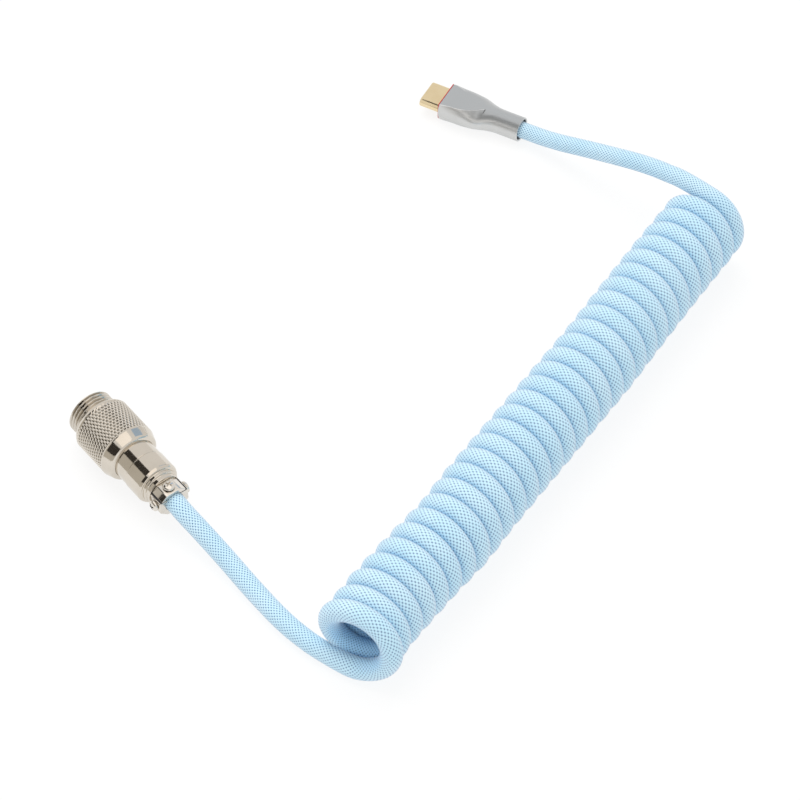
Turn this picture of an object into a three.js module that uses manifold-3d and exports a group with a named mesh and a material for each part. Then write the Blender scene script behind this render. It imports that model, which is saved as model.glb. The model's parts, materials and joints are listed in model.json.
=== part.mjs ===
// A coiled keyboard cable: a round five-pin connector with a threaded, knurled coupling sleeve, a braided
// cord wound into a long close coil, and a flat reversible plug in a satin metal housing.
// Millimetres, +Z up. The origin is on the table under the middle of the coil, and +Y runs along the coil
// from the round connector's end to the flat plug's end.
import * as THREE from "three";
import { mergeVertices } from "three/addons/utils/BufferGeometryUtils.js";
import Module from "manifold-3d";

const wasm = await Module();
wasm.setup();

// Cord and coil.
const LEAD_RADIUS = 2.48;
const PLUG_LEAD_RADIUS = 2.28;
const COIL_CORD = 5.4;
const COIL_OUTER = 21.2;
const COIL_PITCH = 5.4;
const COIL_TURNS = 29.5;
const COIL_CENTRE_Z = COIL_OUTER / 2;
const COIL_LENGTH = COIL_PITCH * COIL_TURNS + COIL_CORD;
const COIL_FLAT = 0.15; // how far the coil's circle is pressed flat where it lies on the table
const FACE_GAP = 0.3;

// The coil lies in a slight bow: how far its middle strays towards +X at places along it.
const COIL_BOW = [
  [-85, 0.7],
  [-66, 0.2],
  [-52, 0.7],
  [-39, 1.6],
  [-28, 1.1],
  [25, 1.1],
  [40, 0.5],
  [57, 0],
  [85, -0.4],
];

// Round connector, measured from its front rim towards its rear.
const THREAD_RADIUS = 6;
const SLEEVE_RADIUS = 7.55;
const SLEEVE_LENGTH = 18.8;
const SLEEVE_BORE = 5;
const BODY_RADIUS = 5.52;
const BODY_FRONT_RADIUS = 4.65;
const BODY_SHOULDER = 14.6;
const BODY_STEP = 17.6;
const BODY_END = 23.1;
const MOUTH_RADIUS = 4.1;
const TAIL_RADIUS = 5.66;
const TAIL_START = 19.6;
const TAIL_END = 31;
const TAIL_BORE = 3.1;
const CLAMP_START = 31.3;
const CLAMP_LENGTH = 4.1;
const CLAMP_HALF_WIDTH = 4.1;
const CLAMP_HALF_HEIGHT = 3.45;
const CLAMP_SIDE_FLAT = 1.6;
const CLAMP_TOP_FLAT = 2;
const CLAMP_BORE = 2.75;
const CLAMP_SPLIT_Z = 1.9;
const PIN_CIRCLE = 2.2;
const PIN_RADIUS = 0.5;
const PIN_TIP = 5.8;
const PIN_END = 18.9;
const INSERT_START = 10.2;
const INSERT_LENGTH = 6.8;
const RING_START = 5.3;
const RING_WIDTH = 0.8;
const WIRES_END = 21.2;
const SHRINK_START = 23.8;
const CONNECTOR_CORE_START = 21.5;
const CONNECTOR_CORE_END = 35.2;
const CONNECTOR_FRONT = [-92.96, -55.35, 7.6];
const CONNECTOR_HEADING = Math.atan2(-0.315, 0.949);

// Flat plug, measured from its tip towards its rear.
const SHELL_WIDTH = 8.34;
const SHELL_HEIGHT = 2.56;
const SHELL_WALL = 0.3;
const SHELL_LENGTH = 9;
const HOUSING_START = 5.9;
const COLLAR_START = HOUSING_START - 0.35;
const COLLAR_LENGTH = 2.4;
const COLLAR_FLANGE = 0.25;
const HOUSING_LENGTH = 21.8;
const HOUSING_BORE = 2.75;
const CORE_RADIUS = 1.85;
const CARRIER_START = 0.9;
const CARRIER_LENGTH = 7.8;
const SLOT_END = 7.2;
const SLOT_HALF_WIDTH = 3.35;
const SLOT_HALF_HEIGHT = 0.33;
const LATCH_PLACE = 3;
const CARD_START = 9.3;
const CARD_END = 14.2;
const CARD_HALF_WIDTH = 3.2;
const CRIMP_START = 18;
const CRIMP_END = 21;
const PLUG_CORE_START = 17.5;
const PLUG_TIP = [-87.3, 82.5, 3.25];
const PLUG_HEADING = Math.atan2(0.106, 0.994);

// The two stretches of cord that are not coiled, as points along their middle.
const CONNECTOR_LEAD = [
  [-58.9, -66.66, 7.6],
  [-55.6, -67.75, 7.25],
  [-50.7, -68.75, 5.85],
  [-45, -70, 4.25],
  [-39.4, -71.5, 3.1],
  [-33.7, -73.4, 2.6],
  [-28.1, -75.3, 2.5],
  [-22.5, -77.1, 2.5],
  [-17.5, -78.4, 2.5],
  [-13, -79.2, 2.5],
  [-9.6, -79.6, 2.5],
];
const PLUG_LEAD = [
  [-10.6, 81.2, 18],
  [-13.6, 81.7, 17.2],
  [-18.3, 82.4, 16],
  [-23.9, 82.95, 14.4],
  [-29.6, 83.4, 12.5],
  [-35.3, 83.95, 10.4],
  [-41.1, 84.4, 8.3],
  [-47.1, 84.85, 6.1],
  [-52.7, 85.3, 4.35],
  [-56.6, 85.6, 3.45],
  [-59.45, 85.45, 3.25],
];

const nickel = metal(0xcfc9bf, 0.22);
const gold = metal(0xdec896, 0.28);
const satinZinc = metal(0xb2b5b6, 0.42);
const springSteel = metal(0xa8a8aa, 0.35);
const redPlastic = plastic(0xd83a3a, 0.4);
const blackPlastic = plastic(0x1c1c1e, 0.5);
const greenBoard = plastic(0x2f6b46, 0.5);
const heatShrink = plastic(0x202226, 0.6);
const cableJacket = plastic(0x3a4a60, 0.6);
const braid = plastic(0xbfe0fa, 0.85);
const wireColours = [0xb23030, 0x2c7a3e, 0xe8e4da, 0x1f1f22, 0xb8bcc2];

function metal(color, roughness) {
  return new THREE.MeshStandardMaterial({ color, roughness, metalness: 1 });
}

function plastic(color, roughness) {
  return new THREE.MeshStandardMaterial({ color, roughness, metalness: 0 });
}

function named(name, geometry, material) {
  const mesh = new THREE.Mesh(geometry, material);
  mesh.name = name;
  return mesh;
}

// A regular polygon's points about (x, y), the first one on the side that phase gives.
function polygon(radius, sides, x = 0, y = 0, phase = 0) {
  const points = [];
  for (let i = 0; i < sides; i += 1) {
    const angle = phase + (2 * Math.PI * i) / sides;
    points.push(new THREE.Vector2(x + radius * Math.cos(angle), y + radius * Math.sin(angle)));
  }
  return points;
}

// The outline of a slot with round ends, centred, as wide as width and as tall as height.
function stadium(width, height, endSteps = 7) {
  const radius = height / 2;
  const half = width / 2 - radius;
  const points = [];
  for (const side of [1, -1]) {
    for (let i = 0; i <= endSteps; i += 1) {
      const angle = -Math.PI / 2 + (Math.PI * i) / endSteps;
      const sideways = side * (half + radius * Math.cos(angle));
      points.push(new THREE.Vector2(sideways, side * radius * Math.sin(angle)));
    }
  }
  return points;
}

// A solid of revolution about +X from [x, radius] corners, given in order round a closed outline.
function turned(corners, segments = 36) {
  const points = corners.map(([x, radius]) => new THREE.Vector2(radius, x));
  if (THREE.ShapeUtils.area(points) < 0) points.reverse();
  const onAxis = points.findIndex((p, i) => p.x === 0 && points[(i + 1) % points.length].x === 0);
  if (onAxis >= 0) {
    const shift = (onAxis + 1) % points.length;
    points.push(...points.splice(0, shift));
  } else {
    points.push(points[0].clone());
  }
  return new THREE.LatheGeometry(points, segments).rotateZ(-Math.PI / 2);
}

// An outline in the plane across +X, drawn as (sideways, up), pulled from x = start over a length.
function pulled(outline, start, length, holes = [], steps = 1) {
  const shape = new THREE.Shape(outline);
  shape.holes = holes.map((hole) => new THREE.Path(hole));
  const geometry = new THREE.ExtrudeGeometry(shape, { depth: length, steps, bevelEnabled: false });
  const acrossX = new THREE.Matrix4().makeBasis(
    new THREE.Vector3(0, 1, 0),
    new THREE.Vector3(0, 0, 1),
    new THREE.Vector3(1, 0, 0),
  );
  return geometry.applyMatrix4(acrossX).translate(start, 0, 0);
}

// A round rod between two points.
function rod(from, to, radius, sides = 10) {
  const start = new THREE.Vector3(...from);
  const along = new THREE.Vector3(...to).sub(start);
  const geometry = new THREE.CylinderGeometry(radius, radius, along.length(), sides);
  geometry.translate(0, along.length() / 2, 0);
  const turn = new THREE.Quaternion().setFromUnitVectors(
    new THREE.Vector3(0, 1, 0),
    along.clone().normalize(),
  );
  return geometry.applyQuaternion(turn).translate(...from);
}

function box(from, to) {
  const size = to.map((value, i) => value - from[i]);
  const middle = to.map((value, i) => (value + from[i]) / 2);
  return new THREE.BoxGeometry(...size).translate(...middle);
}

function solidOf(geometry) {
  const bare = geometry.clone();
  bare.deleteAttribute("normal");
  bare.deleteAttribute("uv");
  const merged = mergeVertices(bare, 1e-4);
  return new wasm.Manifold(
    new wasm.Mesh({
      numProp: 3,
      vertProperties: merged.attributes.position.array,
      triVerts: new Uint32Array(merged.index.array),
    }),
  );
}

function geometryOf(solid) {
  const mesh = solid.getMesh();
  const geometry = new THREE.BufferGeometry();
  geometry.setAttribute("position", new THREE.BufferAttribute(mesh.vertProperties, 3));
  geometry.setIndex(new THREE.BufferAttribute(mesh.triVerts, 1));
  geometry.computeVertexNormals();
  return geometry;
}

// The first geometry with every other one cut out of it.
function cut(whole, ...tools) {
  return geometryOf(tools.reduce((solid, tool) => solid.subtract(solidOf(tool)), solidOf(whole)));
}

function placed(children, position, heading) {
  const group = new THREE.Group();
  group.add(...children);
  group.position.set(...position);
  group.rotation.z = heading;
  return group;
}

// The sleeve turns freely on the body: its thread and knurl are one piece, and a snap ring keeps it on.
function couplingSleeve() {
  return turned([
    [0, SLEEVE_BORE],
    [0, THREAD_RADIUS - 0.4],
    [0.4, THREAD_RADIUS],
    [3.8, THREAD_RADIUS],
    [3.8, THREAD_RADIUS - 0.45],
    [4.2, THREAD_RADIUS - 0.45],
    [4.2, THREAD_RADIUS + 0.6],
    [5, SLEEVE_RADIUS - 0.25],
    [5.6, SLEEVE_RADIUS],
    [16.2, SLEEVE_RADIUS],
    [18.5, SLEEVE_RADIUS - 0.7],
    [SLEEVE_LENGTH, SLEEVE_RADIUS - 1.05],
    [SLEEVE_LENGTH, BODY_RADIUS + FACE_GAP],
    [BODY_SHOULDER, BODY_RADIUS + FACE_GAP],
    [BODY_SHOULDER, SLEEVE_BORE],
    [RING_START + 1.2, SLEEVE_BORE],
    [RING_START + 1.2, SLEEVE_BORE + 0.95],
    [RING_START - 0.4, SLEEVE_BORE + 0.95],
    [RING_START - 0.4, SLEEVE_BORE],
  ]);
}

// A snap ring, open over a small gap, in a groove of the body and reaching into one of the sleeve.
function retainingRing() {
  const end = RING_START + RING_WIDTH;
  const ring = turned([
    [RING_START, 4.6],
    [RING_START, 5.6],
    [end, 5.6],
    [end, 4.6],
  ]);
  return cut(ring, box([RING_START - 1, -0.6, -7], [end + 1, 0.6, 0]));
}

function connectorBody() {
  return turned([
    [0.6, MOUTH_RADIUS],
    [0.6, BODY_FRONT_RADIUS],
    [RING_START - FACE_GAP, BODY_FRONT_RADIUS],
    [RING_START - FACE_GAP, BODY_FRONT_RADIUS - 0.25],
    [RING_START + RING_WIDTH + FACE_GAP, BODY_FRONT_RADIUS - 0.25],
    [RING_START + RING_WIDTH + FACE_GAP, BODY_FRONT_RADIUS],
    [BODY_SHOULDER + FACE_GAP, BODY_FRONT_RADIUS],
    [BODY_SHOULDER + FACE_GAP, BODY_RADIUS],
    [BODY_END, BODY_RADIUS],
    [BODY_END, MOUTH_RADIUS + 0.3],
    [BODY_STEP, MOUTH_RADIUS + 0.3],
    [BODY_STEP, MOUTH_RADIUS],
  ]);
}

// Four contacts stand on a circle and one in the middle.
function pinPlaces() {
  const places = [[0, 0]];
  for (let i = 0; i < 4; i += 1) {
    const angle = Math.PI / 4 + (i * Math.PI) / 2;
    places.push([PIN_CIRCLE * Math.cos(angle), PIN_CIRCLE * Math.sin(angle)]);
  }
  return places;
}

function contactInsert() {
  const holes = pinPlaces().map(([y, z]) => polygon(PIN_RADIUS + 0.3, 10, y, z));
  return pulled(polygon(MOUTH_RADIUS - 0.3, 28), INSERT_START, INSERT_LENGTH, holes);
}

function contactPin(y, z) {
  const pin = turned(
    [
      [PIN_TIP, 0],
      [PIN_TIP + 0.1, PIN_RADIUS * 0.6],
      [PIN_TIP + 0.5, PIN_RADIUS],
      [PIN_END, PIN_RADIUS],
      [PIN_END, 0],
    ],
    10,
  );
  return pin.translate(0, y, z);
}

function tailShell() {
  return turned([
    [TAIL_START, TAIL_BORE],
    [TAIL_START, MOUTH_RADIUS],
    [BODY_END + FACE_GAP, MOUTH_RADIUS],
    [BODY_END + FACE_GAP, TAIL_RADIUS],
    [TAIL_END - 2.6, TAIL_RADIUS],
    [TAIL_END - 2, TAIL_RADIUS - 0.45],
    [TAIL_END - 2, TAIL_RADIUS - 0.9],
    [TAIL_END - 1, TAIL_RADIUS - 0.9],
    [TAIL_END - 1, TAIL_RADIUS - 1.3],
    [TAIL_END, TAIL_RADIUS - 1.3],
    [TAIL_END, TAIL_BORE],
  ]);
}

// The clamp's outline: eight-sided, with its screws on the flats above and at the sides.
function clampOutline() {
  const [wide, tall] = [CLAMP_HALF_WIDTH, CLAMP_HALF_HEIGHT];
  const quarter = [
    [wide, CLAMP_SIDE_FLAT],
    [CLAMP_TOP_FLAT, tall],
  ];
  const back = quarter.toReversed();
  return [
    ...quarter.map(([y, z]) => new THREE.Vector2(y, z)),
    ...back.map(([y, z]) => new THREE.Vector2(-y, z)),
    ...quarter.map(([y, z]) => new THREE.Vector2(-y, -z)),
    ...back.map(([y, z]) => new THREE.Vector2(y, -z)),
  ];
}

const CLAMP_MIDDLE = CLAMP_START + CLAMP_LENGTH / 2;
const SCREW_SHANK = 0.8;

// One of the clamp's two jaws, with a clearance hole for each of its screws.
function clampJaw(isUpper, screwDirections) {
  const jaw = pulled(clampOutline(), CLAMP_START, CLAMP_LENGTH, [polygon(CLAMP_BORE, 24)]);
  const from = isUpper ? -10 : CLAMP_SPLIT_Z - FACE_GAP / 2;
  const to = isUpper ? CLAMP_SPLIT_Z + FACE_GAP / 2 : 10;
  const otherSide = box([CLAMP_START - 1, -10, from], [CLAMP_START + CLAMP_LENGTH + 1, 10, to]);
  const holes = screwDirections.map(([y, z]) =>
    rod([CLAMP_MIDDLE, 2 * y, 2 * z], [CLAMP_MIDDLE, 9 * y, 9 * z], SCREW_SHANK + 0.2, 12),
  );
  return cut(jaw, otherSide, ...holes);
}

// A pan-head screw with a cross recess, along +X with its seat at x = 0 and its shank towards -X.
function clampScrew(shank) {
  const screw = turned(
    [
      [-shank, 0],
      [-shank, SCREW_SHANK],
      [0, SCREW_SHANK],
      [0, 1.5],
      [0.5, 1.45],
      [0.85, 1.15],
      [1.05, 0.6],
      [1.1, 0],
    ],
    20,
  );
  const recess = [box([0.5, -0.85, -0.17], [2, 0.85, 0.17]), box([0.5, -0.17, -0.85], [2, 0.17, 0.85])];
  return cut(screw, ...recess);
}

function placedScrew(name, direction, seat) {
  const shank = seat - CLAMP_BORE - 0.1;
  const mesh = named(name, clampScrew(shank), nickel);
  const outward = new THREE.Vector3(0, ...direction);
  mesh.quaternion.setFromUnitVectors(new THREE.Vector3(1, 0, 0), outward);
  mesh.position.set(CLAMP_MIDDLE, 0, 0).addScaledVector(outward, seat);
  return mesh;
}

// Each contact's wire runs from its solder cup in to the end of the cable's core.
function pinWires() {
  return pinPlaces().map(([y, z], i) => {
    const start = [PIN_END + 0.3, y, z];
    const end = [WIRES_END, y / 2, z / 2];
    return named(`pin_wire_${i + 1}`, rod(start, end, 0.4, 8), plastic(wireColours[i], 0.5));
  });
}

function roundConnector() {
  const pins = pinPlaces().map(([y, z], i) => named(`contact_pin_${i + 1}`, contactPin(y, z), gold));
  const shrink = turned(
    [
      [SHRINK_START, 2.2],
      [SHRINK_START, 2.6],
      [CONNECTOR_CORE_END, 2.6],
      [CONNECTOR_CORE_END, 2.2],
    ],
    20,
  );
  const core = rod([CONNECTOR_CORE_START, 0, 0], [CONNECTOR_CORE_END, 0, 0], CORE_RADIUS, 16);
  const up = [0, 1];
  const left = [-1, 0];
  const right = [1, 0];
  const seatGap = 0.12;
  const parts = [
    named("coupling_sleeve", couplingSleeve(), nickel),
    named("retaining_ring", retainingRing(), springSteel),
    named("connector_body", connectorBody(), nickel),
    named("contact_insert", contactInsert(), blackPlastic),
    named("tail_shell", tailShell(), nickel),
    named("clamp_jaw_upper", clampJaw(true, [up]), nickel),
    named("clamp_jaw_lower", clampJaw(false, [left, right]), nickel),
    placedScrew("clamp_screw_top", up, CLAMP_HALF_HEIGHT + seatGap),
    placedScrew("clamp_screw_left", left, CLAMP_HALF_WIDTH + seatGap),
    placedScrew("clamp_screw_right", right, CLAMP_HALF_WIDTH + seatGap),
    named("strain_sleeve", shrink, heatShrink),
    named("connector_cable_core", core, cableJacket),
  ];
  return placed([...parts, ...pins, ...pinWires()], CONNECTOR_FRONT, CONNECTOR_HEADING);
}

// The housing's sections, from its front: place, half-width of the flat top, half-height, half-width, and the
// angle at which the side leaves the top. The top is a leaf shape with a ridge on one side. The neck is round.
const HOUSING_SECTIONS = [
  [0, 4.2, 2.55, 4.9, 35],
  [0.6, 4.25, 2.75, 5, 35],
  [1.8, 4.25, 2.95, 5.1, 35],
  [3.4, 4.1, 3.05, 5.15, 36],
  [5.4, 3.9, 3.1, 5.15, 38],
  [7.4, 3.3, 3.1, 5.08, 40],
  [9.2, 2.3, 3.1, 4.95, 40],
  [10.6, 1.3, 3.1, 4.65, 34],
  [11.7, 0.8, 3.1, 4.25, 20],
  [13, 0.65, 3.12, 3.75, 11],
  [14.6, 0.57, 3.15, 3.3, 10],
  [16, 0.556, 3.15, 3.2, 10],
  [HOUSING_LENGTH, 0.556, 3.15, 3.2, 10],
];
const HOUSING_SIDE_STEPS = 5;
const SOFT_EDGE_START = 5;
const SOFT_FLAT_LOSS = 0.36;

// A quarter of a section, from the flat's end to just short of the widest place. Softness removes the crease.
function housingQuarter([, flat, tall, wide, degrees], softness) {
  const edge = flat * (1 - SOFT_FLAT_LOSS * softness);
  const least = THREE.MathUtils.degToRad(degrees * (1 - softness));
  const points = [];
  for (let i = 0; i < HOUSING_SIDE_STEPS; i += 1) {
    const angle = least + ((Math.PI / 2 - least) * i) / HOUSING_SIDE_STEPS;
    const share = (Math.sin(angle) - Math.sin(least)) / (1 - Math.sin(least));
    points.push([edge + (wide - edge) * share, (tall * Math.cos(angle)) / Math.cos(least)]);
  }
  return points;
}

// The crease stands on the near edge of the top and the far edge of the bottom. The other two edges are soft.
function housingSection(section) {
  const [x, , , wide] = section;
  const creased = housingQuarter(section, 0);
  const soft = housingQuarter(section, Math.min(1, x / SOFT_EDGE_START));
  return [
    [wide, 0],
    ...soft.toReversed(),
    ...creased.map(([y, z]) => [-y, z]),
    [-wide, 0],
    ...soft.toReversed().map(([y, z]) => [-y, -z]),
    ...creased.map(([y, z]) => [y, -z]),
  ];
}

// A closed skin over the sections, each a ring of as many points, with flat ends.
function lofted(sections, start) {
  const rings = sections.map(housingSection);
  const count = rings[0].length;
  const positions = [];
  const indices = [];
  rings.forEach((ring, k) => ring.forEach(([y, z]) => positions.push(start + sections[k][0], y, z)));
  for (let k = 0; k + 1 < rings.length; k += 1) {
    for (let i = 0; i < count; i += 1) {
      const a = k * count + i;
      const b = k * count + ((i + 1) % count);
      indices.push(a, b, b + count, a, b + count, a + count);
    }
  }
  const last = (rings.length - 1) * count;
  for (let i = 1; i + 1 < count; i += 1) {
    indices.push(0, i + 1, i);
    indices.push(last, last + i, last + i + 1);
  }
  const geometry = new THREE.BufferGeometry();
  geometry.setAttribute("position", new THREE.Float32BufferAttribute(positions, 3));
  geometry.setIndex(indices);
  return geometry;
}

function plugHousing() {
  const whole = lofted(HOUSING_SECTIONS, HOUSING_START);
  const mouth = pulled(stadium(SHELL_WIDTH + 0.76, SHELL_HEIGHT + 0.76), HOUSING_START - 1, 10);
  const bore = rod([14.4, 0, 0], [HOUSING_START + HOUSING_LENGTH + 1, 0, 0], HOUSING_BORE, 24);
  return cut(whole, mouth, bore);
}

// A sleeve in the housing's mouth, with a flange of the housing's own outline in front of it.
function plugCollar() {
  const widest = (SHELL_WIDTH + 0.56) / 2;
  const outline = housingSection(HOUSING_SECTIONS[0]).map(
    ([y, z]) => new THREE.Vector2(THREE.MathUtils.clamp(y, -widest, widest), z),
  );
  const flange = pulled(outline, COLLAR_START, COLLAR_FLANGE);
  const sleeve = pulled(stadium(SHELL_WIDTH + 0.56, SHELL_HEIGHT + 0.56), COLLAR_START, COLLAR_LENGTH);
  const hole = pulled(stadium(SHELL_WIDTH + 0.2, SHELL_HEIGHT + 0.2), COLLAR_START - 1, COLLAR_LENGTH + 2);
  return cut(geometryOf(solidOf(flange).add(solidOf(sleeve))), hole);
}

// The moulded block inside the shell, with the slot that the socket's tongue enters.
function contactCarrier() {
  const width = SHELL_WIDTH - 2 * SHELL_WALL - 0.6;
  const height = SHELL_HEIGHT - 2 * SHELL_WALL - 0.6;
  const block = pulled(stadium(width, height), CARRIER_START, CARRIER_LENGTH);
  const low = [CARRIER_START - 1, -SLOT_HALF_WIDTH, -SLOT_HALF_HEIGHT];
  const high = [SLOT_END, SLOT_HALF_WIDTH, SLOT_HALF_HEIGHT];
  return cut(block, box(low, high));
}

// One row of twelve contacts, joined at the back, lying along the slot's roof or its floor.
function contactComb(side) {
  const pitch = 0.5;
  const count = 12;
  const tooth = 0.25;
  const front = 1.7;
  const roots = 6.2;
  const back = 6.8;
  const thickness = 0.12;
  const points = [];
  for (let i = 0; i < count; i += 1) {
    const middle = pitch * (i - (count - 1) / 2);
    const isFirst = i === 0;
    const isLast = i === count - 1;
    points.push(new THREE.Vector2(isFirst ? back : roots, middle - tooth / 2));
    points.push(new THREE.Vector2(front, middle - tooth / 2));
    points.push(new THREE.Vector2(front, middle + tooth / 2));
    points.push(new THREE.Vector2(isLast ? back : roots, middle + tooth / 2));
  }
  const geometry = new THREE.ExtrudeGeometry(new THREE.Shape(points), {
    depth: thickness,
    bevelEnabled: false,
  });
  return geometry.translate(0, 0, side > 0 ? thickness : -2 * thickness);
}

function cardWires() {
  const wires = [];
  for (let i = 0; i < 4; i += 1) {
    const y = (i - 1.5) * 1.4;
    const start = [CARD_END + FACE_GAP, y, 0];
    const end = [PLUG_CORE_START - 0.4, y * 0.45, 0];
    wires.push(named(`card_wire_${i + 1}`, rod(start, end, 0.3, 8), plastic(wireColours[i], 0.5)));
  }
  return wires;
}

function flatPlug() {
  const outer = stadium(SHELL_WIDTH, SHELL_HEIGHT);
  const inner = stadium(SHELL_WIDTH - 2 * SHELL_WALL, SHELL_HEIGHT - 2 * SHELL_WALL);
  const crimp = turned(
    [
      [CRIMP_START, 2.1],
      [CRIMP_START, 2.45],
      [CRIMP_END, 2.45],
      [CRIMP_END, 2.1],
    ],
    20,
  );
  const springs = [-1, 1].map((side) => {
    const middle = side * (LATCH_PLACE + 0.1);
    const name = side < 0 ? "latch_spring_left" : "latch_spring_right";
    return named(name, box([1.6, middle - 0.1, -0.15], [6, middle + 0.1, 0.15]), springSteel);
  });
  const card = box([CARD_START, -CARD_HALF_WIDTH, -0.4], [CARD_END, CARD_HALF_WIDTH, 0.4]);
  const coreEnd = HOUSING_START + HOUSING_LENGTH - FACE_GAP;
  const core = rod([PLUG_CORE_START, 0, 0], [coreEnd, 0, 0], CORE_RADIUS, 16);
  const parts = [
    named("plug_shell", pulled(outer, 0, SHELL_LENGTH, [inner]), gold),
    named("plug_collar", plugCollar(), redPlastic),
    named("plug_housing", plugHousing(), satinZinc),
    named("contact_carrier", contactCarrier(), blackPlastic),
    named("contact_comb_upper", contactComb(1), gold),
    named("contact_comb_lower", contactComb(-1), gold),
    named("circuit_card", card, greenBoard),
    named("plug_crimp", crimp, nickel),
    named("plug_cable_core", core, cableJacket),
  ];
  return placed([...parts, ...springs, ...cardWires()], PLUG_TIP, PLUG_HEADING);
}

// A lead follows its points with a plain many-sided section.
function lead(points, radius, steps) {
  const path = new THREE.CatmullRomCurve3(points.map((p) => new THREE.Vector3(...p)), false, "centripetal");
  const shape = new THREE.Shape(polygon(radius, 10, 0, 0, Math.PI / 10));
  return new THREE.ExtrudeGeometry(shape, { steps, bevelEnabled: false, extrudePath: path });
}

// How far the coil's middle strays towards +X at a place along it.
function bowAt(y) {
  const next = COIL_BOW.findIndex(([place]) => place >= y);
  const [[y0, x0], [y1, x1]] = COIL_BOW.slice(next - 1, next + 1);
  return x0 + ((x1 - x0) * (y - y0)) / (y1 - y0);
}

// The close-wound coil as one solid of its outer size, lying on a narrow flat.
function coil() {
  const radius = COIL_OUTER / 2 + COIL_FLAT;
  const half = Math.acos(COIL_CENTRE_Z / radius);
  const sides = 40;
  const outline = [];
  for (let i = 0; i <= sides; i += 1) {
    const angle = -Math.PI / 2 + half + ((2 * Math.PI - 2 * half) * i) / sides;
    outline.push(new THREE.Vector2(radius * Math.cos(angle), radius * Math.sin(angle)));
  }
  const geometry = pulled(outline, -COIL_LENGTH / 2, COIL_LENGTH, [], 24);
  geometry.rotateZ(Math.PI / 2).translate(0, 0, COIL_CENTRE_Z);
  const place = geometry.getAttribute("position");
  for (let i = 0; i < place.count; i += 1) {
    place.setX(i, place.getX(i) + bowAt(place.getY(i)));
  }
  return geometry;
}

const cable = new THREE.Group();
cable.add(
  roundConnector(),
  flatPlug(),
  named("lead_to_connector", lead(CONNECTOR_LEAD, LEAD_RADIUS, 16), braid),
  named("cord_coil", coil(), braid),
  named("lead_to_plug", lead(PLUG_LEAD, PLUG_LEAD_RADIUS, 16), braid),
);

export default cable;
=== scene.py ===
"""The looks of a coiled keyboard cable.

It has a turned nickel connector with a knurled coupling sleeve, a braided cord in a long close coil, and a
flat gold plug in a satin metal housing. The connector's and the plug's shapes are worked out in millimetres,
each in its own frame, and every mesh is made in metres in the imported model's frame.
"""

import json
import math

import bmesh
import bpy
import numpy as np
from mathutils import Matrix, Vector


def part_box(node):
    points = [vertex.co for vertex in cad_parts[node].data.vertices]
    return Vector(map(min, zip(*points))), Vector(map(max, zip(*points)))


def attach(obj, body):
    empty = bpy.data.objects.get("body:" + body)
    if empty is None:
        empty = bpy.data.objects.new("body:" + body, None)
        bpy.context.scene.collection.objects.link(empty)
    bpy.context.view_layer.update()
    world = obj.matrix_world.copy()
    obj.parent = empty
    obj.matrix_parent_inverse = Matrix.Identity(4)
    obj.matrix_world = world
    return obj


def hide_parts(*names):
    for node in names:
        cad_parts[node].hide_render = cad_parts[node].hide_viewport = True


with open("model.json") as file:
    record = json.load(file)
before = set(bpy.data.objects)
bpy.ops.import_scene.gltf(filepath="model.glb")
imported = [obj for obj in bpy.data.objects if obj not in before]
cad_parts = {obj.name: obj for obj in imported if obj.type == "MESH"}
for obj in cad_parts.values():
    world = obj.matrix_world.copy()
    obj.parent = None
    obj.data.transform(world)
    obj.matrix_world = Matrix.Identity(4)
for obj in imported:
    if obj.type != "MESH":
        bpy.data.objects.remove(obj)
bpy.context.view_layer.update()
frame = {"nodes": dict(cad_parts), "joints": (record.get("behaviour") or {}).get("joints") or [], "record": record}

MM = 0.001
SLEEVE_JOINT = next(joint for joint in frame["joints"] if joint["name"] == "sleeve_spin")
MOUNTS = {mount["name"]: mount for mount in frame["record"]["mounts"]}

# Cord and coil, in metres.
LEAD_RADIUS = 0.00248
COIL_CORD_RADIUS = 0.0027
PLUG_LEAD_RADIUS = 0.0022
COIL_RADIUS = 0.0079
COIL_CENTRE_Z = 0.0106
COIL_PITCH = 0.0054
COIL_TURNS = 29.5
FIRST_TURN_EXTRA = 0.0022  # how much wider the first turn starts than the others
FIRST_TURNS_LEAN = 0.0014  # how far the first turn leans over, its right side towards +Y
LEANING_TURNS = 5
COIL_BOW = [  # places along Y, and how far the coil's middle line strays towards +X there
    (-0.085, 0.0007),
    (-0.066, 0.0002),
    (-0.052, 0.0007),
    (-0.039, 0.0016),
    (-0.028, 0.0011),
    (0.025, 0.0011),
    (0.04, 0.0005),
    (0.057, 0),
    (0.085, -0.0004),
]
CONNECTOR_LEAD = [  # from the clamp to the start of the coil
    (-0.0589, -0.06666, 0.0076),
    (-0.0556, -0.06775, 0.00725),
    (-0.0507, -0.06875, 0.00585),
    (-0.045, -0.07, 0.00425),
    (-0.0394, -0.0715, 0.0031),
    (-0.0337, -0.0734, 0.0026),
    (-0.0281, -0.0753, 0.0025),
    (-0.0225, -0.0771, 0.0025),
    (-0.0175, -0.0784, 0.0025),
    (-0.013, -0.0792, 0.0025),
    (-0.0096, -0.0796, 0.0025),
]
PLUG_LEAD = [  # from the top of the coil to the plug
    (-0.0106, 0.0812, 0.018),
    (-0.0136, 0.0817, 0.0172),
    (-0.0183, 0.0824, 0.016),
    (-0.0239, 0.08295, 0.0144),
    (-0.0296, 0.0834, 0.0125),
    (-0.0353, 0.08395, 0.0104),
    (-0.0411, 0.0844, 0.0083),
    (-0.0471, 0.08485, 0.0061),
    (-0.0527, 0.0853, 0.00435),
    (-0.0566, 0.0856, 0.00345),
    (-0.05945, 0.08545, 0.00325),
]

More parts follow.
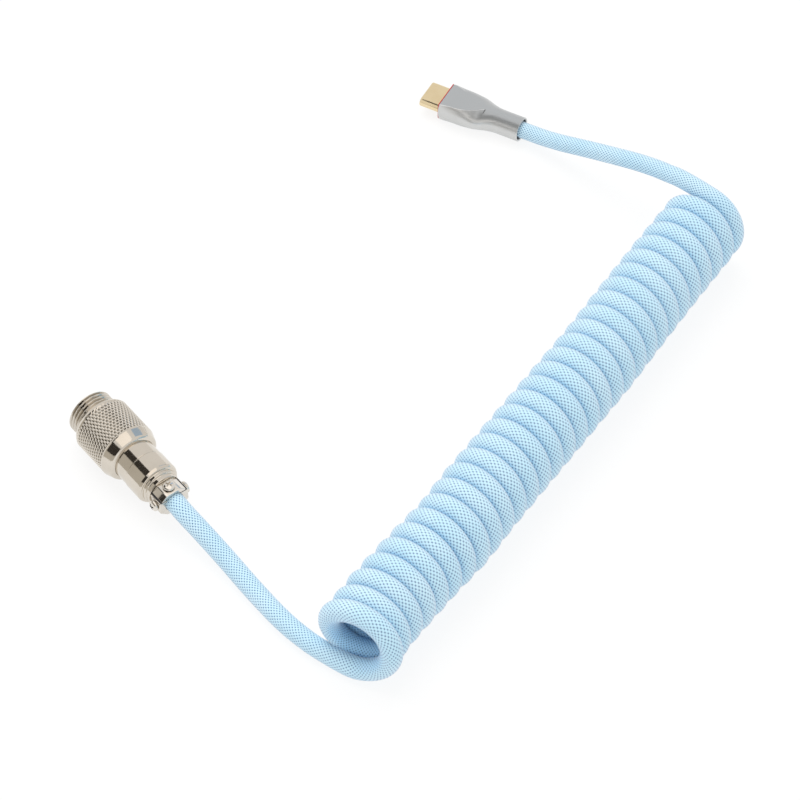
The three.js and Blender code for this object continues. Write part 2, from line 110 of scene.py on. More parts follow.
# Round connector, in millimetres from its front rim.
THREAD_RADIUS = 6
THREAD_PITCH = 1
THREAD_DEPTH = 0.5
THREAD_END = 3.8
SLEEVE_RADIUS = 7.55
SLEEVE_BORE = 5
SLEEVE_END = 18.8
KNURL_START = 5.65
KNURL_END = 16
KNURL_ROUND = 49  # diamonds in one ring round the sleeve
KNURL_ALONG = 6.5  # diamonds along it
KNURL_DEPTH = 0.34
KNURL_RINGS = 96
BODY_RADIUS = 5.52
BODY_SEAM = 23.2
TAIL_RADIUS = 5.66
CLAMP_START = 31.3
CLAMP_LENGTH = 4.1
CLAMP_HALF_WIDTH = 4.1
CLAMP_HALF_HEIGHT = 3.45
CLAMP_SIDE_FLAT = 1.6
CLAMP_TOP_FLAT = 2
CLAMP_BORE = 2.75
CLAMP_SPLIT_Z = 1.9
CLAMP_SPLIT = 0.3
PIN_CIRCLE = 2.2
PIN_RADIUS = 0.5

# Flat plug, in millimetres from its tip.
SHELL_WIDTH = 8.34
SHELL_HEIGHT = 2.56
SHELL_WALL = 0.3
SHELL_LENGTH = 9
SHELL_LIP = [(0.45, 0), (0.12, 0.02), (0.02, 0.09), (0, 0.15), (0.02, 0.21), (0.12, 0.28)]  # x, depth into it
HOUSING_START = 5.9
HOUSING_LENGTH = 21.8
HOUSING_BORE = 2.75
COLLAR_START = 5.57
COLLAR_LENGTH = 2.4
COLLAR_SLEEVE = (4.4, 1.5)  # half its width and half its height
COLLAR_WALL = (0.13, 0.12)
COLLAR_HALF_WIDTH = 4.45
COLLAR_GAP = 0.07

# The housing's ridge and sections, in millimetres from the housing's front.
RIDGE_RISE = 3  # the ridge reaches its full height here
RIDGE_END = 11.6
RIDGE_EDGE = 0.12  # how far the ridge's painted highlight reaches on to the flat and down the side
RIDGE_LIFT = 0.14  # how far the ridge stands out before it ends in a small step
RIDGE_LIFT_STEPS = 5  # steps down the side before the ridge has run out
RIDGE_STEP = 0.06  # how far the step reaches to each side of the ridge's end
SOFT_EDGE_START = 5  # the two edges without a ridge are soft from here
SOFT_FLAT_LOSS = 0.36
PAINTED_TOP_SHADE_NECK = (6, 12)  # where the top's painted shade starts to spread down the side, and where it has done so
HOUSING_SIDE_STEPS = 14
HOUSING_FLAT_STEPS = 7
HOUSING_SECTIONS = [  # x, half the flat, half the height, half the width, and the side's angle at the ridge
    (0, 4.2, 2.55, 4.9, 35),
    (0.6, 4.25, 2.75, 5, 35),
    (1.8, 4.25, 2.95, 5.1, 35),
    (3.4, 4.1, 3.05, 5.15, 36),
    (5.4, 3.9, 3.1, 5.15, 38),
    (7.4, 3.3, 3.1, 5.08, 40),
    (9.2, 2.3, 3.1, 4.95, 40),
    (10.6, 1.3, 3.1, 4.65, 34),
    (11.7, 0.8, 3.1, 4.25, 20),
    (13, 0.65, 3.12, 3.75, 11),
    (14.6, 0.57, 3.15, 3.3, 10),
    (16, 0.556, 3.15, 3.2, 10),
    (21.8, 0.556, 3.15, 3.2, 10),
]


def frame_at(origin, along):
    """The matrix from local millimetres, with +X along and +Z up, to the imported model's metres."""
    x = Vector(along).normalized()
    y = Vector((0, 0, 1)).cross(x)
    turn = Matrix((x, y, Vector((0, 0, 1)))).transposed().to_4x4()
    return Matrix.Translation(origin) @ turn @ Matrix.Scale(MM, 4)


def middle(node):
    low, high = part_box(node)
    return (low + high) / 2


PLUG_ALONG = -Vector(MOUNTS["plug_stop_face"]["axis"])
CONNECTOR = frame_at(Vector(SLEEVE_JOINT["pos_m"]), SLEEVE_JOINT["axis"])
PLUG = frame_at(middle("plug_shell") - PLUG_ALONG * SHELL_LENGTH / 2 * MM, PLUG_ALONG)


# Camera.
def look_from(azimuth, elevation, target, distance, lens):
    camera = bpy.data.objects.new("camera", bpy.data.cameras.new("camera"))
    bpy.context.scene.collection.objects.link(camera)
    a, e = math.radians(azimuth), math.radians(elevation)
    back = Vector((math.sin(a) * math.cos(e), -math.cos(a) * math.cos(e), math.sin(e)))
    camera.location = Vector(target) + back * distance
    camera.rotation_mode = "QUATERNION"
    camera.rotation_quaternion = (-back).to_track_quat("-Z", "Y")
    camera.data.lens = lens
    camera.data.clip_end = 20
    bpy.context.scene.camera = camera


look_from(34, 50, (-0.0363, -0.0055, 0), 0.92, 169.65)


# Curves.
def catmull_rom(points, steps):
    """The centripetal Catmull-Rom curve through points of any dimension, with steps to each stretch."""
    points = np.array(points, float)
    points = np.vstack([2 * points[0] - points[1], points, 2 * points[-1] - points[-2]])
    u = np.linspace(0, 1, steps, endpoint=False)[:, None]
    found = []
    for p0, p1, p2, p3 in zip(points, points[1:], points[2:], points[3:], strict=False):
        a, b, c = (math.sqrt(np.linalg.norm(q - p)) for p, q in ((p0, p1), (p1, p2), (p2, p3)))
        start = b * ((p1 - p0) / a - (p2 - p0) / (a + b) + (p2 - p1) / b)
        end = b * ((p2 - p1) / b - (p3 - p1) / (b + c) + (p3 - p2) / c)
        found.append(
            (2 * u**3 - 3 * u**2 + 1) * p1
            + (u**3 - 2 * u**2 + u) * start
            + (3 * u**2 - 2 * u**3) * p2
            + (u**3 - u**2) * end
        )
    return np.vstack([*found, points[-2]])


def lengths_along(line):
    return np.concatenate([[0], np.cumsum(np.linalg.norm(np.diff(line, axis=0), axis=1))])


def evenly(line, step):
    along = lengths_along(line)
    at = np.linspace(0, along[-1], math.ceil(along[-1] / step) + 1)
    return np.stack([np.interp(at, along, line[:, k]) for k in range(line.shape[1])], axis=1)


def coil_points(per_turn=24):
    """The coil's middle line: it starts at the bottom, goes up on the right and ends on top."""
    start = -COIL_PITCH * COIL_TURNS / 2
    places, strays = zip(*COIL_BOW, strict=True)
    found = []
    for i in range(round(COIL_TURNS * per_turn) + 1):
        turns = i / per_turn
        angle = 2 * math.pi * turns
        wider = FIRST_TURN_EXTRA * max(0, 1 - turns) ** 2
        lean = FIRST_TURNS_LEAN * max(0, 1 - turns / LEANING_TURNS)
        y = start + COIL_PITCH * turns + lean * math.sin(angle)
        x = np.interp(y, places, strays) + (COIL_RADIUS + wider) * math.sin(angle)
        found.append((x, y, COIL_CENTRE_Z + wider - (COIL_RADIUS + wider) * math.cos(angle)))
    return found


# Meshes.
def finished(name, points, faces, material, place=None, sharp=32, uv=None, marks=None):
    """A smooth-shaded mesh piece, with its sharp edges kept sharp and its faces turned outwards.

    The marks are numbers from 0 to 1, one for each point, that the material reads by their names.
    """
    mesh = bpy.data.meshes.new(name)
    mesh.from_pydata([tuple(p) for p in points], [], faces)
    for mark, values in (marks or {}).items():
        mesh.attributes.new(mark, "FLOAT", "POINT").data.foreach_set("value", np.array(values, np.float32))
    if uv is not None:
        layer = mesh.uv_layers.new(name="weave")
        layer.data.foreach_set("uv", np.array(uv, np.float32).ravel())
    if place is not None:
        mesh.transform(place)
    work = bmesh.new()
    work.from_mesh(mesh)
    bmesh.ops.recalc_face_normals(work, faces=work.faces)
    work.to_mesh(mesh)
    work.free()
    mesh.shade_smooth()
    mesh.set_sharp_from_angle(angle=math.radians(sharp))
    mesh.materials.append(material)
    piece = bpy.data.objects.new(name, mesh)
    bpy.context.scene.collection.objects.link(piece)
    return piece


def stands_for(piece, slot, *nodes, body="cable"):
    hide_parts(*nodes)
    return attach(piece, body)


def skin(rows, ring_closed=True, rows_closed=False, capped=False):
    """The points and faces of a grid of rows, each row a ring of as many points."""
    rows = np.array(rows, float)
    count, around = rows.shape[:2]
    faces = []
    for i in range(count if rows_closed else count - 1):
        here, there = i * around, ((i + 1) % count) * around
        for j in range(around if ring_closed else around - 1):
            k = (j + 1) % around
            faces.append((here + j, here + k, there + k, there + j))
    if capped:
        faces.append(tuple(range(around))[::-1])
        faces.append(tuple(range((count - 1) * around, count * around)))
    return rows.reshape(-1, 3), faces


def rounded(corners, radius=0.12, closed=True):
    """An outline with a small arc at each corner, and a point on each side of it to keep the flats flat."""
    corners = [np.array(c, float) for c in corners]
    found = []
    for i, corner in enumerate(corners):
        if not closed and i in (0, len(corners) - 1):
            found.append(corner)
            continue
        into, out = corners[i - 1] - corner, corners[(i + 1) % len(corners)] - corner
        reach = min(radius, 0.35 * np.linalg.norm(into), 0.35 * np.linalg.norm(out))
        into, out = (reach * way / np.linalg.norm(way) for way in (into, out))
        found.append(corner + 1.3 * into)
        found += [corner + (1 - t) ** 2 * into + t**2 * out for t in (0, 1 / 3, 2 / 3, 1)]
        found.append(corner + 1.3 * out)
    return np.array(found)


def ring(x, radius, segments):
    """A ring about +X. The radius is one number, or one for each segment."""
    angle = np.linspace(0, 2 * math.pi, segments, endpoint=False)
    radius = np.broadcast_to(radius, angle.shape)
    x = np.broadcast_to(x, angle.shape)
    return np.stack([x, radius * np.cos(angle), radius * np.sin(angle)], axis=1)


def turned(name, corners, material, place, segments=96, radius=0.12):
    """A solid of revolution about +X from [x, radius] corners in order round a closed outline."""
    points, faces = skin([ring(x, r, segments) for x, r in rounded(corners, radius)], rows_closed=True)
    return finished(name, points, faces, material, place)


def slot_outline(width, height, steps=16):
    """A slot with round ends, as points of (sideways, up)."""
    radius = height / 2
    half = width / 2 - radius
    points = []
    for side in (1, -1):
        for i in range(steps + 1):
            angle = -math.pi / 2 + math.pi * i / steps
            points.append((side * (half + radius * math.cos(angle)), side * radius * math.sin(angle)))
    return np.array(points)


def across(x, outline):
    return np.column_stack([np.full(len(outline), x), outline])


# Materials.
class Graph:
    """A material with a Principled shader, and short calls for the nodes that drive it."""

    def __init__(self, name, shader):
        self.material = bpy.data.materials.new(name)
        self.material.use_nodes = True
        self.tree = self.material.node_tree
        self.shader = next(n for n in self.tree.nodes if n.type == "BSDF_PRINCIPLED")
        for socket, value in shader.items():
            self.shader.inputs[socket].default_value = value

    def node(self, kind, inputs=None, **settings):
        made = self.tree.nodes.new(kind)
        for key, value in settings.items():
            setattr(made, key, value)
        for socket, value in (inputs or {}).items():
            if isinstance(value, bpy.types.NodeSocket):
                self.tree.links.new(value, made.inputs[socket])
            else:
                made.inputs[socket].default_value = value
        return made

    def math(self, operation, *values):
        return self.node("ShaderNodeMath", dict(enumerate(values)), operation=operation).outputs[0]

    def blend(self, share, first, second):
        """A colour between two, each a colour or a socket."""
        mix = self.node("ShaderNodeMix", {0: share, 6: first, 7: second}, data_type="RGBA")
        return mix.outputs[2]

    def ramp(self, value, low, high, to_low=0.0, to_high=1.0):
        inputs = {0: value, 1: low, 2: high, 3: to_low, 4: to_high}
        made = self.node("ShaderNodeMapRange", inputs, interpolation_type="SMOOTHSTEP")
        return made.outputs[0]

    def noise(self, scale, detail=3.0):
        """Noise from 0 to 1 in the piece's own metres."""
        place = self.node("ShaderNodeTexCoord").outputs["Object"]
        return self.node("ShaderNodeTexNoise", {"Vector": place, "Scale": scale, "Detail": detail}).outputs[0]

    def mark(self, name):
        """The mesh's own numbers of that name."""
        return self.node("ShaderNodeAttribute", attribute_name=name).outputs["Fac"]

    def bump(self, height, strength, distance):
        made = self.node("ShaderNodeBump", {"Height": height, "Strength": strength, "Distance": distance})
        self.tree.links.new(made.outputs[0], self.shader.inputs["Normal"])

    def feed(self, socket, value):
        self.tree.links.new(value, self.shader.inputs[socket])


def metal(name, colour, dull, roughness, grain, relief=0.05, painted_light=None):
    """Plated metal: a slightly cloudy colour, gloss over a fine grain, and painted shade and painted highlights
    where it is marked.
    """
    graph = Graph(name, {"Metallic": 1.0})
    cloud = graph.noise(240, 4)
    fine = graph.noise(grain, 2)
    shade = graph.blend(graph.ramp(cloud, 0.3, 0.75), (*colour, 1), (*dull, 1))
    # Painted light: each mark blends in its painted shade or painted highlight colour.
    for mark, painted_colour in (painted_light or {}).items():
        shade = graph.blend(graph.mark(mark), shade, (*painted_colour, 1))
    graph.feed("Base Color", shade)
    graph.feed("Roughness", graph.ramp(fine, 0.25, 0.8, roughness - 0.035, roughness + 0.05))
    graph.bump(fine, relief, 0.00003)
    return graph.material


def moulded(name, colour, roughness, scale=2500):
    """Moulded plastic with a faint texture and a little unevenness of colour."""
    graph = Graph(name, {"Coat Weight": 0.08})
    cloud = graph.noise(300, 3)
    shade = tuple(0.82 * c for c in colour)
    graph.feed("Base Color", graph.blend(graph.ramp(cloud, 0.25, 0.8), (*colour, 1), (*shade, 1)))
    fine = graph.noise(scale, 2)
    graph.feed("Roughness", graph.ramp(fine, 0.2, 0.8, roughness - 0.06, roughness + 0.06))
    graph.bump(fine, 0.12, 0.00005)
    return graph.material


def woven():
    """A plain weave of flat bundles on the slant: one over, one under, with a dark gap at each crossing.

    Painted shade makes it a deeper blue inside the coil and in the grooves between its turns.
    """
    graph = Graph("braided_sleeve", {"Roughness": 0.62, "Sheen Weight": 0.85, "Sheen Roughness": 0.36})
    graph.shader.inputs["Sheen Tint"].default_value = (0.9, 0.9, 1, 1)
    weave = graph.node("ShaderNodeUVMap", uv_map="weave").outputs[0]
    parts = graph.node("ShaderNodeSeparateXYZ", {0: weave})
    one = graph.math("ADD", parts.outputs[0], parts.outputs[1])
    other = graph.math("SUBTRACT", parts.outputs[0], parts.outputs[1])
    hills = []
    for way in (one, other):
        share = graph.math("FRACT", way)
        hills.append(graph.math("SINE", graph.math("MULTIPLY", share, math.pi)))
    cells = graph.math("ADD", graph.math("FLOOR", one), graph.math("FLOOR", other))
    over = graph.math("ABSOLUTE", graph.math("MODULO", cells, 2.0))
    heights = []
    for across_it, along_it in (hills, hills[::-1]):
        crown = graph.math("POWER", across_it, 0.55)
        dip = graph.math("MULTIPLY_ADD", along_it, 0.45, 0.55)
        heights.append(graph.math("MULTIPLY", crown, dip))
    lift = graph.node("ShaderNodeMix", {0: over, 2: heights[0], 3: heights[1]}).outputs[0]
    gaps = graph.math(
        "MULTIPLY",
        graph.math("SUBTRACT", 1.0, hills[0]),
        graph.math("SUBTRACT", 1.0, hills[1]),
    )
    dots = graph.ramp(gaps, 0.18, 0.46)
    edges = graph.ramp(lift, 0.1, 0.75, 1.0, 0.0)
    cloud = graph.ramp(graph.noise(90, 2), 0.3, 0.7)
    strand = graph.blend(cloud, (0.56, 0.82, 0.97, 1), (0.62, 0.85, 0.98, 1))
    # Painted shade: a deeper blue inside the coil and between its turns.
    strand = graph.blend(graph.mark("coil_painted_shade"), strand, (0.44, 0.75, 1, 1))
    shaded = graph.blend(graph.math("MULTIPLY", edges, 0.45), strand, (0.3, 0.56, 0.84, 1))
    graph.feed("Base Color", graph.blend(dots, shaded, (0.045, 0.15, 0.36, 1)))
    graph.bump(lift, 0.6, 0.0002)
    return graph.material


# Painted light on the nickel: painted shade in the knurl's pits and the thread's groove, and a painted highlight
# on the knurl's crests.
NICKEL_PAINTED_LIGHT = {"painted_shade": (0.03, 0.024, 0.018), "painted_highlight": (0.86, 0.82, 0.76)}
NICKEL = metal("nickel", (0.68, 0.628, 0.552), (0.64, 0.59, 0.515), 0.1, 3800, painted_light=NICKEL_PAINTED_LIGHT)
BRIGHT_NICKEL = metal("bright_nickel", (0.76, 0.72, 0.66), (0.68, 0.64, 0.58), 0.13, 3000, relief=0.08)
GOLD = metal("shell_gold_plate", (0.83, 0.69, 0.45), (0.79, 0.65, 0.41), 0.15, 5200, relief=0.01)
CONTACT_GOLD = metal("contact_gold_plate", (0.9, 0.66, 0.3), (0.8, 0.55, 0.22), 0.2, 5200)
# Painted light on the housing: a painted reflection that makes the flat top darker and bluer, a painted highlight
# along the ridge, and painted shade in the step where the ridge ends.
SATIN_PAINTED_LIGHT = {"painted_top_shade": (0.52, 0.545, 0.565), "painted_ridge_highlight": (0.98, 0.98, 0.98), "step": (0.2, 0.2, 0.2)}
SATIN = metal("satin_housing", (0.64, 0.645, 0.64), (0.6, 0.605, 0.6), 0.36, 6500, 0.2, SATIN_PAINTED_LIGHT)
SPRING = metal("spring_steel_strip", (0.55, 0.55, 0.56), (0.48, 0.48, 0.49), 0.3, 4200)
BLACK = moulded("black_moulding", (0.018, 0.018, 0.02), 0.42)
RED = moulded("red_moulding", (0.55, 0.04, 0.04), 0.42)
BOARD = moulded("board_green", (0.03, 0.17, 0.075), 0.4)
JACKET = moulded("jacket_rubber", (0.014, 0.014, 0.016), 0.55)
BRAID = woven()


# The cord.
WEAVE_ROUND = 18  # gaps in one ring round the cord
WEAVE_CELL = 0.00106  # metres of cord to each ring of gaps
CORD_SIDES = 32


def coil_painted_shade(rows, line):
    """How much painted shade each point of the cord gets in the coil, from 0 to 1.

    The shade is painted most on the side that faces the coil's middle, and a little in the grooves between the
    turns.
    Both start gradually at the coil's ends.
    """
    coil = np.array(coil_points())
    along = lengths_along(line)
    start, end = (along[np.argmin(np.linalg.norm(line - place, axis=1))] for place in (coil[0], coil[-1]))
    strays = np.interp(line[:, 1], *zip(*COIL_BOW, strict=True))
    outward = line - np.column_stack([strays, line[:, 1], np.full(len(line), COIL_CENTRE_Z)])
    outward /= np.linalg.norm(outward, axis=1)[:, None]
    normals = rows - line[:, None]
    normals /= np.linalg.norm(normals, axis=2)[:, :, None]
    facing = np.einsum("ijk,ik->ij", normals, outward)
    inner = np.clip(0.05 - 1.6 * facing, 0, 1) * np.clip((along - start) / 0.01, 0, 1)[:, None]
    groove = (0.6 - np.abs(facing)) * np.clip((along - start) / 0.06, 0, 1)[:, None]
    return np.maximum(inner, groove) * np.clip((end - along) / 0.01, 0, 1)[:, None]


def tube(name, line, radii, material):
    """A tube on a line, with flat ends, and its weave laid out as (rings along, gaps round)."""
    ahead = np.gradient(line, axis=0)
    ahead /= np.linalg.norm(ahead, axis=1)[:, None]
    side = np.cross(ahead[0], (0, 0, 1))
    rows = []
    angle = np.linspace(0, 2 * math.pi, CORD_SIDES, endpoint=False)
    for place, way, radius in zip(line, ahead, radii, strict=True):
        side = side - (side @ way) * way
        side /= np.linalg.norm(side)
        up = np.cross(way, side)
        rows.append(place + radius * (np.cos(angle)[:, None] * side + np.sin(angle)[:, None] * up))
    points, faces = skin(rows, capped=True)
    # The coil's painted shade, as a mark.
    marks = {"coil_painted_shade": coil_painted_shade(np.array(rows), line).ravel()}
    along = lengths_along(line) / WEAVE_CELL
    uv = []
    for i in range(len(line) - 1):
        for j in range(CORD_SIDES):
            round_here, round_next = (k * WEAVE_ROUND / CORD_SIDES for k in (j, j + 1))
            uv += [
                (along[i], round_here),
                (along[i], round_next),
                (along[i + 1], round_next),
                (along[i + 1], round_here),
            ]
    for end in (0, -1):
        uv += [(along[end], k * WEAVE_ROUND / CORD_SIDES) for k in range(CORD_SIDES)]
    return finished(name, points, faces, material, uv=uv, marks=marks)


def cord_radii(line):
    """Thin in the connector's lead, full in the coil and thinnest at the plug."""
    along = lengths_along(line)
    whole = along[-1]
    profile = [
        (0, LEAD_RADIUS),
        (0.054, LEAD_RADIUS),
        (0.066, COIL_CORD_RADIUS),
        (whole - 0.085, COIL_CORD_RADIUS),
        (whole - 0.06, PLUG_LEAD_RADIUS + 0.00012),
        (whole, PLUG_LEAD_RADIUS - 0.00006),
    ]
    return np.interp(along, *zip(*profile, strict=True))


def cord():
    into_clamp = CONNECTOR @ Vector((CLAMP_START + 2.4, 0, 0))
    into_housing = PLUG @ Vector((HOUSING_START + HOUSING_LENGTH - 2.2, 0, 0))
    onto_lead = (-0.0046, 0.0804, 0.0184)
    route = [into_clamp, *CONNECTOR_LEAD, *coil_points(), onto_lead, *PLUG_LEAD, into_housing]
    line = evenly(catmull_rom(route, 8), 0.00105)
    piece = tube("braided_cord", line, cord_radii(line), BRAID)
    stands_for(piece, "cord_braid", "lead_to_connector", "cord_coil", "lead_to_plug")
    return piece


cord()


# The round connector.
def wave(value):
    """A triangle wave from 0 to 1 and back for each whole step of value."""
    return 1 - np.abs(2 * (value % 1) - 1)


def knurl_rows(segments):
    """Rings over the knurl's diamonds, how much painted shade each point gets in the pits, and how much painted
    highlight on the crests.
    """
    round_it = np.arange(segments) * KNURL_ROUND / segments
    rows = []
    painted_shade = []
    painted_highlight = []
    for i in range(KNURL_RINGS + 1):
        along = KNURL_ALONG * i / KNURL_RINGS
        one, other = wave(along + round_it), wave(along - round_it)
        height = 0.35 * np.minimum(one, other) + 0.65 * (one + other) / 2
        fade = min(1, along / 0.4, (KNURL_ALONG - along) / 0.4)
        depth = KNURL_DEPTH * fade * (1 - np.minimum(1, 1.2 * height))
        x = KNURL_START + (KNURL_END - KNURL_START) * i / KNURL_RINGS
        rows.append(ring(x, SLEEVE_RADIUS - depth, segments))
        # Painted shade where the grooves cross, and a painted highlight on the diamonds' tops.
        painted_shade.append(fade * np.clip(1.45 - 1.7 * (one + other), 0, 1))
        painted_highlight.append(fade * np.clip(3 * height - 1.5, 0, 1))
    return rows, painted_shade, painted_highlight


def thread_rows(start, end, segments, per_turn=16):
    """Rings over a helical thread that runs out at both ends, and how much painted shade each point gets in its
    groove.
    """
    share = np.arange(segments) / segments
    rows = []
    painted_shade = []
    for i in range(round((end - start) / THREAD_PITCH * per_turn) + 1):
        x = start + i * THREAD_PITCH / per_turn
        groove = np.clip(1.5 * wave(x / THREAD_PITCH - share) - 0.3, 0, 1)
        fade = np.clip(min((x - start) / 0.25, (end - x) / 0.25), 0, 1)
        rows.append(ring(x, THREAD_RADIUS - THREAD_DEPTH * groove * fade, segments))
        # Painted shade in the thread's groove.
        painted_shade.append(0.35 * groove * fade)
    return rows, painted_shade


def coupling_sleeve():
    segments = KNURL_ROUND * 8
    inside = [
        (14.6, BODY_RADIUS + 0.33),
        (14.6, SLEEVE_BORE),
        (6.5, SLEEVE_BORE),
        (0.35, SLEEVE_BORE),
        (0, SLEEVE_BORE + 0.25),
        (0, THREAD_RADIUS - 0.45),
        (0.3, THREAD_RADIUS - 0.12),
    ]
    rim = [
        (THREAD_END, THREAD_RADIUS),
        (THREAD_END + 0.02, THREAD_RADIUS - 0.5),
        (4.2, THREAD_RADIUS - 0.5),
        (4.2, THREAD_RADIUS + 0.6),
        (5, SLEEVE_RADIUS - 0.25),
        (KNURL_START, SLEEVE_RADIUS),
    ]
    shoulder = [
        (KNURL_END + 0.02, SLEEVE_RADIUS),
        (KNURL_END + 0.2, SLEEVE_RADIUS - 0.03),
        (18.3, SLEEVE_RADIUS - 0.74),
        (18.62, SLEEVE_RADIUS - 0.95),
        (18.85, SLEEVE_RADIUS - 1.3),
        (SLEEVE_END + 0.18, SLEEVE_RADIUS - 1.7),
        (SLEEVE_END + 0.24, BODY_RADIUS + 0.02),
        (SLEEVE_END - 0.4, BODY_RADIUS + 0.02),
        (SLEEVE_END - 0.4, BODY_RADIUS + 0.3),
    ]
    plain_rows = []
    for part in (inside, rim, shoulder):
        plain_rows.append([ring(x, r, segments) for x, r in rounded(part, 0.1, closed=False)])
    thread, thread_painted_shade = thread_rows(0.4, THREAD_END - 0.05, segments)
    knurl, knurl_painted_shade, knurl_painted_highlight = knurl_rows(segments)
    rows = [*plain_rows[0], *thread, *plain_rows[1], *knurl, *plain_rows[2]]
    smooth = [np.zeros((len(part), segments)) for part in plain_rows]
    # The painted shade of the thread and the knurl, and the knurl's painted highlight, as marks.
    painted_shade = np.vstack([smooth[0], thread_painted_shade, smooth[1], knurl_painted_shade, smooth[2]])
    painted_highlight = np.vstack([smooth[0], np.zeros((len(thread), segments)), smooth[1], knurl_painted_highlight, smooth[2]])
    points, faces = skin(rows, rows_closed=True)
    marks = {"painted_shade": painted_shade.ravel(), "painted_highlight": painted_highlight.ravel()}
    piece = finished("sleeve_knurled", points, faces, NICKEL, CONNECTOR, sharp=40, marks=marks)
    return stands_for(piece, "nickel_plate", "coupling_sleeve", body="sleeve")


def connector_body():
    corners = [
        (0.6, 4.1),
        (0.6, 4.65),
        (5, 4.65),
        (5, 4.4),
        (6.4, 4.4),
        (6.4, 4.65),
        (14.9, 4.65),
        (14.9, BODY_RADIUS),
        (BODY_SEAM, BODY_RADIUS),
        (BODY_SEAM, 4.4),
        (17.6, 4.4),
        (17.6, 4.1),
    ]
    piece = turned("body_turned", corners, NICKEL, CONNECTOR, 128, 0.16)
    return stands_for(piece, "nickel_plate", "connector_body")


def tail_shell():
    corners = [
        (19.6, 3.1),
        (19.6, 4.1),
        (BODY_SEAM + 0.06, 4.1),
        (BODY_SEAM + 0.06, TAIL_RADIUS),
        (28.35, TAIL_RADIUS),
        (28.95, TAIL_RADIUS - 0.35),
        (29.05, TAIL_RADIUS - 0.9),
        (29.95, TAIL_RADIUS - 0.9),
        (30.05, TAIL_RADIUS - 1.3),
        (31.25, TAIL_RADIUS - 1.3),
        (31.25, 3.1),
    ]
    piece = turned("tail_turned", corners, NICKEL, CONNECTOR, 128, 0.16)
    return stands_for(piece, "nickel_plate", "tail_shell")


def pin_places():
    turns = [math.pi / 4 + i * math.pi / 2 for i in range(4)]
    return [(0, 0)] + [(PIN_CIRCLE * math.cos(t), PIN_CIRCLE * math.sin(t)) for t in turns]


def contact_insert():
    corners = [(10.2, 0.001), (10.2, 3.8), (17, 3.8), (17, 0.001)]
    piece = turned("insert_moulded", corners, BLACK, CONNECTOR, 64, 0.2)
    return stands_for(piece, "black_plastic", "contact_insert")


def contact_pins():
    tip = [(5.8 + 0.5 * (1 - math.cos(a)), PIN_RADIUS * math.sin(a)) for a in np.linspace(0, math.pi / 2, 8)]
    for i, (y, z) in enumerate(pin_places()):
        rows = [ring(x, max(r, 0.02), 24) + (0, y, z) for x, r in [*tip, (18.9, PIN_RADIUS)]]
        points, faces = skin(rows, capped=True)
        piece = finished(f"pin_{i + 1}", points, faces, CONTACT_GOLD, CONNECTOR)
        stands_for(piece, "contact_gold", f"contact_pin_{i + 1}")


def clamp_jaw(name, outline, node):
    """A cast jaw: its outline pulled along the cord, with all its edges broken."""
    outline = rounded(outline, 0.3)
    centre = outline.mean(axis=0)
    end = [(0, 0.2), (0.06, 0.07), (0.2, 0)]
    sections = [*end, *((CLAMP_LENGTH - x, inset) for x, inset in reversed(end))]
    rows = [across(CLAMP_START + x, outline + (centre - outline) * inset / 3) for x, inset in sections]
    points, faces = skin(rows, capped=True)
    piece = finished(name, points, faces, BRIGHT_NICKEL, CONNECTOR, sharp=40)
    return stands_for(piece, "nickel_plate", node)


def bore_arc(start, end, count):
    return [(CLAMP_BORE * math.cos(a), CLAMP_BORE * math.sin(a)) for a in np.linspace(start, end, count)]


def clamp_jaws():
    """Two jaws round the cord, of one eight-sided outline that is split above the cord's middle."""
    side, top = (CLAMP_HALF_WIDTH, CLAMP_SIDE_FLAT), (CLAMP_TOP_FLAT, CLAMP_HALF_HEIGHT)
    low_z, high_z = CLAMP_SPLIT_Z - CLAMP_SPLIT / 2, CLAMP_SPLIT_Z + CLAMP_SPLIT / 2
    slope = (top[0] - side[0]) / (top[1] - side[1])
    low_y, high_y = (side[0] + slope * (z - side[1]) for z in (low_z, high_z))
    up, down = (math.asin(z / CLAMP_BORE) for z in (high_z, low_z))
    roof = [(-high_y, high_z), (-top[0], top[1]), top, (high_y, high_z)]
    clamp_jaw("jaw_upper_cast", [*roof, *bore_arc(up, math.pi - up, 16)], "clamp_jaw_upper")
    right = [(top[0], -top[1]), (side[0], -side[1]), side, (low_y, low_z)]
    left = [(-y, z) for y, z in reversed(right)]
    low_arc = bore_arc(math.pi - down, 2 * math.pi + down, 30)
    clamp_jaw("jaw_lower_cast", [*left, *right, *low_arc[::-1]], "clamp_jaw_lower")


def screw_mesh():
    """A pan-head screw along +X with its seat at x = 0, and a cross recess cut into its head."""
    profile = [(-1.2, 0.02), (-1.2, 0.8), (0.2, 0.8), (0.2, 1.4), (0.3, 1.5), (0.55, 1.5)]
    profile += [(0.55 + 0.65 * math.sin(a), 1.5 * math.cos(a)) for a in np.linspace(0.25, 1.5, 9)]
    points, faces = skin([ring(x, r, 40) for x, r in profile], capped=True)
    head = finished("screw_blank", points, faces, BRIGHT_NICKEL)
    for width, height in ((1.7, 0.36), (0.36, 1.7)):
        cutter = finished("screw_cutter", *slab((0.62, 1.6), width, height), BRIGHT_NICKEL)
        cut = head.modifiers.new("recess", "BOOLEAN")
        cut.operation = "DIFFERENCE"
        cut.object = cutter
        cut.solver = "EXACT"
    made = bpy.data.meshes.new_from_object(head.evaluated_get(bpy.context.evaluated_depsgraph_get()))
    for spare in [head] + [cut.object for cut in head.modifiers]:
        bpy.data.objects.remove(spare)
    made.shade_smooth()
    made.set_sharp_from_angle(angle=math.radians(32))
    return made


def slab(x_range, width, height):
    corners = np.array([(-1, -1), (1, -1), (1, 1), (-1, 1)]) * (width / 2, height / 2)
    return skin([across(x, corners) for x in x_range], capped=True)


